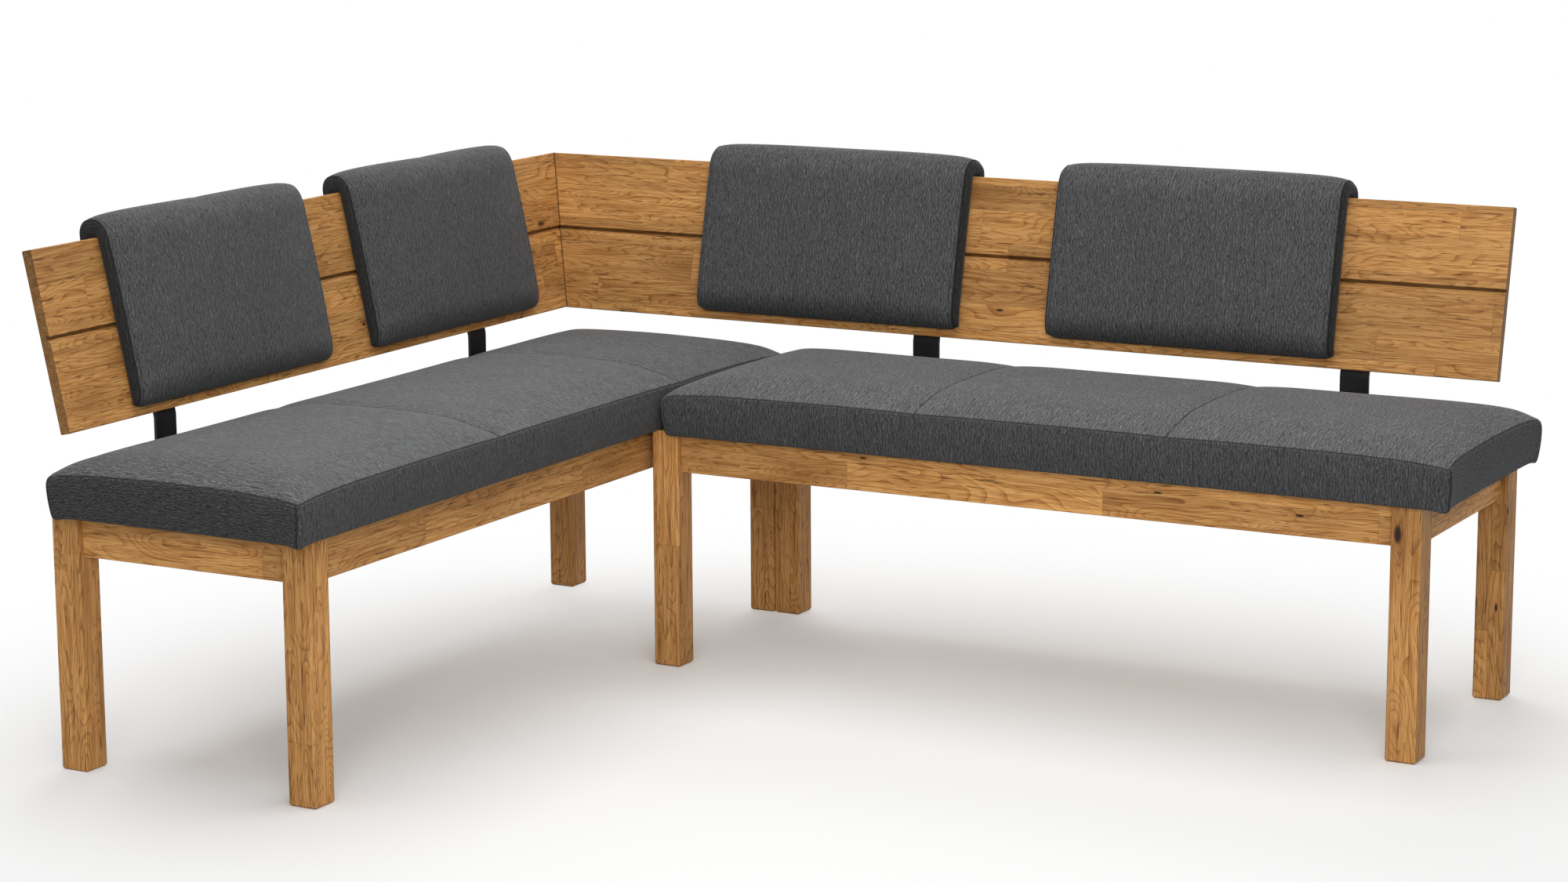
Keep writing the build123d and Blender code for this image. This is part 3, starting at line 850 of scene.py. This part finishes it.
def makePad(wing, number, plan):
    centre = plan["centres"][wing][number - 1]
    length = plan["length"]
    reach = padEnds(plan)[-1]
    lines = [
        np.array([*panelLines(0, length, plan["step"], plan["edge"]), length]),
        np.array([*panelLines(0, reach, plan["step"], plan["edge"]), reach]),
        np.linspace(0, 1, plan["capLines"]),
    ]
    cells, faces, sides = boxSkin(lines)
    a, b, c = (lines[n][cells[:, n]] for n in range(3))
    lengthway = 2 * a / length - 1
    toEnd = np.minimum(a, length - a)
    whole, atSeam = plan["swellShares"]
    swell = whole * (1 - lengthway**4) + atSeam * shoulder(toEnd, plan["swellReach"])
    sizes = [plan[key][wing] for key in ("front", "roll", "flap")]
    front, roll, flap = (low + (high - low) * swell for low, high in sizes)
    boardSide, roomSide = padSection(plan, b / reach, front, roll, flap)
    section = boardSide + (roomSide - boardSide) * c

    # lower corners lifted into a round, end caps bulging a little
    low = np.clip((-section[1] - plan["drop"] + plan["cornerHeight"]) / plan["cornerHeight"], 0, 1)
    lift, liftReach = plan["cornerLift"]
    section[1] = section[1] + lift * low * (1 - shoulder(toEnd, liftReach, 2.0))
    bulge = plan["capSwell"][wing] * 4 * c * (1 - c)
    reached = a + np.where(a < tiny, -bulge, 0) + np.where(a > length - tiny, bulge, 0)
    out = boardPlan["topOut"] + section[0] * math.cos(lean) + section[1] * math.sin(lean)
    up = boardPlan["top"] - section[0] * math.sin(lean) + section[1] * math.cos(lean)
    points = wingPoints(wing, centre - length / 2 + reached, out, up)

    outerSide = cells[:, 2] == cells[:, 2].max()
    innerSide = cells[:, 2] == 0
    atCap = atEnds(cells, 0)
    atHem = atEnds(cells, 1)
    seam = ((outerSide | innerSide) & (atCap | atHem) | (atCap & atHem)).astype(float)
    hold = np.maximum(innerSide * 1.0, seam)
    stitched = outerSide & (np.abs(toEnd - plan["topstitch"]) < tiny)
    seam = np.maximum(seam, plan["topstitchSeam"] * stitched)
    measures = np.stack([a, b, c * plan["capWidth"]], axis=-1)
    # cap: darker end caps, and painted shade fading up from the pad's lower edge
    shadeReach, shade = plan["paintedFootShade"]
    cap = np.maximum(atCap, shade * np.clip(1 - b / shadeReach, 0, 1))
    piece = skinMesh(f"{wing}BackCushion{number}", points, faces, sides, measures, seam, hold, cap)
    piece["mostMove"] = plan["mostMove"]
    return piece


# swells all cushions at once with cloth under a little pressure, seams and board sides held
clothPlan = {"pressure": 4.0, "frames": 20, "quality": 4, "mass": 0.3, "tension": 25.0, "bending": 0.8}


def swellCushions(cushions, plan):
    rested = {}
    for piece in cushions:
        rested[piece.name] = np.array([v.co for v in piece.data.vertices])
        modifier = piece.modifiers.new("swell", "CLOTH")
        modifier.point_cache.frame_end = plan["frames"]
        settings = modifier.settings
        settings.quality = plan["quality"]
        settings.mass = plan["mass"]
        settings.tension_stiffness = plan["tension"]
        settings.compression_stiffness = plan["tension"]
        settings.bending_stiffness = plan["bending"]
        settings.use_pressure = True
        settings.uniform_pressure_force = plan["pressure"]
        settings.effector_weights.gravity = 0
        settings.vertex_group_mass = "held"
        settings.pin_stiffness = 1.0
    for number in range(1, plan["frames"] + 1):
        scene.frame_set(number)
    depsgraph = bpy.context.evaluated_depsgraph_get()
    swollen = {}
    for piece in cushions:
        solved = piece.evaluated_get(depsgraph)
        swollen[piece.name] = np.array([v.co for v in solved.data.vertices])
    for piece in cushions:
        move = swollen[piece.name] - rested[piece.name]
        distance = np.linalg.norm(move, axis=1, keepdims=True)
        most = piece["mostMove"]
        capped = most * np.tanh(distance / most) / np.maximum(distance, 1e-9)
        piece.modifiers.remove(piece.modifiers["swell"])
        piece.data.vertices.foreach_set("co", (rested[piece.name] + move * capped).ravel())
        print(piece.name, "swelled by up to", round(float(distance.max()) * 1000, 1), "mm before the cap")
    scene.frame_set(1)


# one subdivision, then the seam rows sink into fine grooves
seamDepth = 0.0022


def finishCushion(piece):
    piece.vertex_groups.clear()
    finer = piece.modifiers.new("finer", "SUBSURF")
    finer.levels = finer.render_levels = 1
    depsgraph = bpy.context.evaluated_depsgraph_get()
    solved = piece.evaluated_get(depsgraph)
    mesh = bpy.data.meshes.new_from_object(solved, preserve_all_data_layers=True, depsgraph=depsgraph)
    mesh.name = piece.name
    piece.modifiers.clear()
    piece.data = mesh
    count = len(mesh.vertices)
    seam = np.zeros(count)
    points = np.zeros(count * 3)
    normals = np.zeros(count * 3)
    mesh.attributes["seam"].data.foreach_get("value", seam)
    mesh.vertices.foreach_get("co", points)
    mesh.vertex_normals.foreach_get("vector", normals)
    sunk = points.reshape(-1, 3) - normals.reshape(-1, 3) * (seamDepth * seam**2)[:, None]
    mesh.vertices.foreach_set("co", sunk.ravel())
    mesh.materials.clear()
    mesh.materials.append(greyCloth)
    mesh.update()
    del piece["mostMove"]


cushions = {}
for wing in ("long", "short"):
    cushions[f"{wing}_seat_cushion"] = makeSeat(wing, seatPlan)
    for number in (1, 2):
        cushions[f"{wing}_back_cushion_{number}"] = makePad(wing, number, padPlan)
print("cushions drawn")
swellCushions(list(cushions.values()), clothPlan)
for nodeName, piece in cushions.items():
    finishCushion(piece)
    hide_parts(nodeName)
    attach(piece, "bench" if "seat" in nodeName else nodeName)
print("cushions finished")


# geometry nodes helpers: a tree with named inputs, its end, and its run on a piece
def startTree(name, sockets):
    tree = bpy.data.node_groups.new(name, "GeometryNodeTree")
    tree.interface.new_socket("Geometry", in_out="INPUT", socket_type="NodeSocketGeometry")
    for label, kind in sockets.items():
        tree.interface.new_socket(label, in_out="INPUT", socket_type=f"NodeSocket{kind}")
    tree.interface.new_socket("Geometry", in_out="OUTPUT", socket_type="NodeSocketGeometry")
    return tree, tree.nodes.new("NodeGroupInput").outputs


def finishTree(tree, shape, material):
    real = addNode(tree, "GeometryNodeRealizeInstances", {0: shape})
    inputs = {"Geometry": real.outputs[0], "Material": material}
    painted = addNode(tree, "GeometryNodeSetMaterial", inputs)
    output = tree.nodes.new("NodeGroupOutput")
    tree.links.new(painted.outputs[0], output.inputs[0])


# sets the inputs by identifier, and keeps the result as a plain mesh
def bakeTree(name, source, tree, values):
    holder = bpy.data.objects.new(name, source)
    scene.collection.objects.link(holder)
    modifier = holder.modifiers.new("nodes", "NODES")
    modifier.node_group = tree
    for item in tree.interface.items_tree:
        if item.in_out == "INPUT" and item.name in values:
            modifier[item.identifier] = values[item.name]
    depsgraph = bpy.context.evaluated_depsgraph_get()
    mesh = bpy.data.meshes.new_from_object(holder.evaluated_get(depsgraph), depsgraph=depsgraph)
    mesh.name = name
    holder.modifiers.clear()
    holder.data = mesh
    return holder


# a thread along every edge of a cushion whose seam is at least this full
threadPlan = {"Seam From": 0.99, "Thread Radius": 0.0007, "Thread Sides": 5, "Thread Material": seamThread}


def seamTree():
    sockets = {"Seam From": "Float", "Thread Radius": "Float", "Thread Sides": "Int"}
    tree, given = startTree("seamThreads", {**sockets, "Thread Material": "Material"})
    sewn = addNode(tree, "GeometryNodeInputNamedAttribute", {"Name": "seam"}, data_type="FLOAT").outputs[0]
    compared = {0: sewn, 1: given["Seam From"]}
    chosen = addNode(tree, "FunctionNodeCompare", compared, data_type="FLOAT", operation="GREATER_THAN")
    edges = {"Mesh": given["Geometry"], "Selection": chosen.outputs[0]}
    path = addNode(tree, "GeometryNodeMeshToCurve", edges)
    sizes = {"Resolution": given["Thread Sides"], "Radius": given["Thread Radius"]}
    ring = addNode(tree, "GeometryNodeCurvePrimitiveCircle", sizes)
    swept = {"Curve": path.outputs[0], "Profile Curve": ring.outputs[0]}
    tube = addNode(tree, "GeometryNodeCurveToMesh", swept)
    finishTree(tree, tube.outputs[0], given["Thread Material"])
    return tree


def sewSeams(plan):
    tree = seamTree()
    for nodeName, cushion in cushions.items():
        thread = bakeTree(f"{cushion.name}Thread", cushion.data.copy(), tree, plan)
        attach(thread, "bench" if "seat" in nodeName else nodeName)


sewSeams(threadPlan)
print("seams sewn")

screwPlan = {
    "radius": 0.0045,
    "rings": (0.0, 0.0004, 0.0008, 0.0014, 0.002, 0.0026, 0.003, 0.0036, 0.0041, 0.0044, 0.0045),
    "sides": 32,
    "height": 0.0028,
    "domeFall": 0.45,
    "recess": 0.0016,
    "slotWidth": 0.0011,
    "slotReach": 0.0026,
    "headFrom": 0.0035,
    "headMerge": 0.00005,
    "solidMerge": 0.00001,
    "headScale": 1.0,
    "mostTurn": 6.28,
    "turnSeed": 7,
    "groups": (
        "bracket_rail_screws",
        "bracket_board_screws",
        "ledger_screws",
        "panel_screws",
        "unit_plate_screws",
    ),
}


# one screw head on each point, turned to the point's facing and spun by chance
def screwTree():
    sockets = {"Head": "Object", "Head Scale": "Float", "Most Turn": "Float", "Turn Seed": "Int"}
    tree, given = startTree("screwHeads", {**sockets, "Head Material": "Material"})
    head = addNode(tree, "GeometryNodeObjectInfo", {"Object": given["Head"]})
    facing = addNode(tree, "GeometryNodeInputNamedAttribute", {"Name": "facing"}, data_type="FLOAT_VECTOR")
    turned = addNode(tree, "FunctionNodeAlignRotationToVector", {"Vector": facing.outputs[0]}, axis="Z")
    turns = {2: 0.0, 3: given["Most Turn"], "Seed": given["Turn Seed"]}
    chance = addNode(tree, "FunctionNodeRandomValue", turns, data_type="FLOAT")
    spin = addNode(tree, "FunctionNodeAxisAngleToRotation", {"Axis": (0, 0, 1), "Angle": chance.outputs[1]})
    rotations = {0: turned.outputs[0], 1: spin.outputs[0]}
    both = addNode(tree, "FunctionNodeRotateRotation", rotations, rotation_space="LOCAL")
    inputs = {"Points": given["Geometry"], "Instance": head.outputs["Geometry"]}
    inputs.update({"Rotation": both.outputs[0], "Scale": given["Head Scale"]})
    heads = addNode(tree, "GeometryNodeInstanceOnPoints", inputs)
    finishTree(tree, heads.outputs[0], given["Head Material"])
    return tree


# a pan head with a cross recess, standing on its seat and facing +Z
def screwHead(plan):
    mesh = bpy.data.meshes.new("screwHead")
    shell = bmesh.new()
    rows = []
    for radius in plan["rings"]:
        row = []
        for side in range(plan["sides"]):
            angle = 2 * math.pi * (side + 0.5) / plan["sides"]
            x, y = radius * math.cos(angle), radius * math.sin(angle)
            dome = plan["height"] * (1 - plan["domeFall"] * (radius / plan["radius"]) ** 3)
            inCross = min(abs(x), abs(y)) < plan["slotWidth"] / 2 and radius < plan["slotReach"]
            row.append(shell.verts.new((x, y, dome - plan["recess"] * inCross)))
        rows.append(row)
    foot = []
    for vert in rows[-1]:
        foot.append(shell.verts.new((vert.co.x, vert.co.y, 0.0)))
    rows.append(foot)
    for inside, outside in zip(rows[:-1], rows[1:]):
        for n in range(plan["sides"]):
            m = (n + 1) % plan["sides"]
            shell.faces.new((inside[n], outside[n], outside[m], inside[m]))
    shell.faces.new(list(reversed(foot)))
    bmesh.ops.remove_doubles(shell, verts=shell.verts, dist=plan["headMerge"])
    bmesh.ops.recalc_face_normals(shell, faces=shell.faces)
    shell.to_mesh(mesh)
    shell.free()
    head = bpy.data.objects.new("screwHead", mesh)
    scene.collection.objects.link(head)
    return head


# finds each screw's seat and facing in the group's own solid: the head is the wide end
def screwSeats(nodeName, plan):
    shell = bmesh.new()
    shell.from_mesh(cadNodes[nodeName].data)
    bmesh.ops.remove_doubles(shell, verts=shell.verts, dist=plan["solidMerge"])
    left = set(shell.verts)
    seats = []
    while left:
        start = left.pop()
        island = [start]
        queue = [start]
        while queue:
            for edge in queue.pop().link_edges:
                for vert in edge.verts:
                    if vert in left:
                        left.discard(vert)
                        island.append(vert)
                        queue.append(vert)
        points = np.array([v.co for v in island])
        middle = (points.max(axis=0) + points.min(axis=0)) / 2
        axis = np.linalg.eigh(np.cov((points - points.mean(axis=0)).T))[1][:, 2]
        along = (points - middle) @ axis
        fromAxis = np.linalg.norm((points - middle) - np.outer(along, axis), axis=1)
        wide = fromAxis > plan["headFrom"]
        if along[wide].mean() < 0:
            axis, along = -axis, -along
        seats.append((middle + axis * along[wide].min(), axis))
    shell.free()
    return sorted(seats, key=lambda seat: tuple(np.round(seat[0], 4)))


def driveScrews(plan):
    tree = screwTree()
    head = screwHead(plan)
    values = {
        "Head": head,
        "Head Scale": plan["headScale"],
        "Most Turn": plan["mostTurn"],
        "Turn Seed": plan["turnSeed"],
        "Head Material": zincSteel,
    }
    for nodeName in plan["groups"]:
        seats = screwSeats(nodeName, plan)
        spots = bpy.data.meshes.new(nodeName)
        spots.from_pydata([tuple(place) for place, facing in seats], [], [])
        facings = np.array([facing for place, facing in seats], dtype=np.float32)
        spots.attributes.new("facing", "FLOAT_VECTOR", "POINT").data.foreach_set("vector", facings.ravel())
        name = "".join(word.capitalize() for word in nodeName.split("_"))
        heads = bakeTree(name[0].lower() + name[1:], spots, tree, values)
        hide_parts(nodeName)
        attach(heads, "bench")
        print(nodeName, len(seats), "heads")
    bpy.data.objects.remove(head)


driveScrews(screwPlan)
print("screws driven")

# plain studio: a pale floor that keeps the shadow, white all round, soft boxes above, in front and behind
studioPlan = {
    "floorSize": 30,
    "floorColour": (0.9, 0.9, 0.897, 1),
    "bounceColour": (0.6, 0.6, 0.6, 1),
    "floorWhite": 0.06,
    "whiteFrom": (0.75, 2.05),
    "shadeMiddle": (0.25, -0.3, 0.0),
    "white": (1, 1, 1, 1),
    "around": 0.22,
    "boxes": {
        "overhead": {"place": (0, -0.15, 3.4), "aim": (0, -0.15, 0.4), "size": (4.6, 3.8), "power": 103},
        "front": {"place": (2.6, -4.8, 2.3), "aim": (0, 0, 0.5), "size": (3.0, 2.4), "power": 162},
        "rear": {"place": (-1.6, 3.6, 2.5), "aim": (0, 0, 0.5), "size": (3.6, 2.2), "power": 75},
    },
}


# 1 for what the camera, a reflection or a glass sees, 0 for light that falls on the bench
def seenDirectly(tree):
    path = addNode(tree, "ShaderNodeLightPath").outputs
    seen = calc(tree, "MAXIMUM", path["Is Camera Ray"], path["Is Glossy Ray"])
    return calc(tree, "MAXIMUM", seen, path["Is Transmission Ray"])


def makeFloor(plan):
    floorLook, tree = startMaterial("paleFloor")
    seen = seenDirectly(tree)
    colour = mixColour(tree, seen, plan["bounceColour"], plan["floorColour"])
    matt = addNode(tree, "ShaderNodeBsdfDiffuse", {"Color": colour}).outputs[0]
    glow = addNode(tree, "ShaderNodeEmission", {"Color": plan["white"], "Strength": 1.0}).outputs[0]
    place = addNode(tree, "ShaderNodeTexCoord").outputs["Object"]
    away = vectorCalc(tree, "DISTANCE", place, plan["shadeMiddle"])["Value"]
    share = calc(tree, "MULTIPLY", seen, spread(tree, away, *plan["whiteFrom"], plan["floorWhite"], 1.0))
    finishMaterial(tree, addNode(tree, "ShaderNodeMixShader", {0: share, 1: matt, 2: glow}))
    size = plan["floorSize"]
    mesh = bpy.data.meshes.new("studioFloor")
    corners = [(-size, -size, 0), (size, -size, 0), (size, size, 0), (-size, size, 0)]
    mesh.from_pydata(corners, [], [(0, 1, 2, 3)])
    mesh.materials.append(floorLook)
    floor = bpy.data.objects.new("studioFloor", mesh)
    scene.collection.objects.link(floor)


def lightStudio(plan):
    world = bpy.data.worlds.new("studio")
    world.use_nodes = True
    tree = world.node_tree
    tree.nodes.clear()
    strength = spread(tree, seenDirectly(tree), 0.0, 1.0, plan["around"], 1.0)
    back = addNode(tree, "ShaderNodeBackground", {"Color": plan["white"], "Strength": strength})
    output = tree.nodes.new("ShaderNodeOutputWorld")
    tree.links.new(back.outputs[0], output.inputs[0])
    scene.world = world
    for name, box in plan["boxes"].items():
        data = bpy.data.lights.new(name, "AREA")
        data.shape = "RECTANGLE"
        data.size, data.size_y = box["size"]
        data.energy = box["power"]
        lamp = bpy.data.objects.new(name, data)
        lamp.location = box["place"]
        shining = Vector(box["aim"]) - Vector(box["place"])
        lamp.rotation_euler = shining.to_track_quat("-Z", "Y").to_euler()
        scene.collection.objects.link(lamp)
    scene.view_settings.view_transform = "Standard"


makeFloor(studioPlan)
lightStudio(studioPlan)
print("studio set")
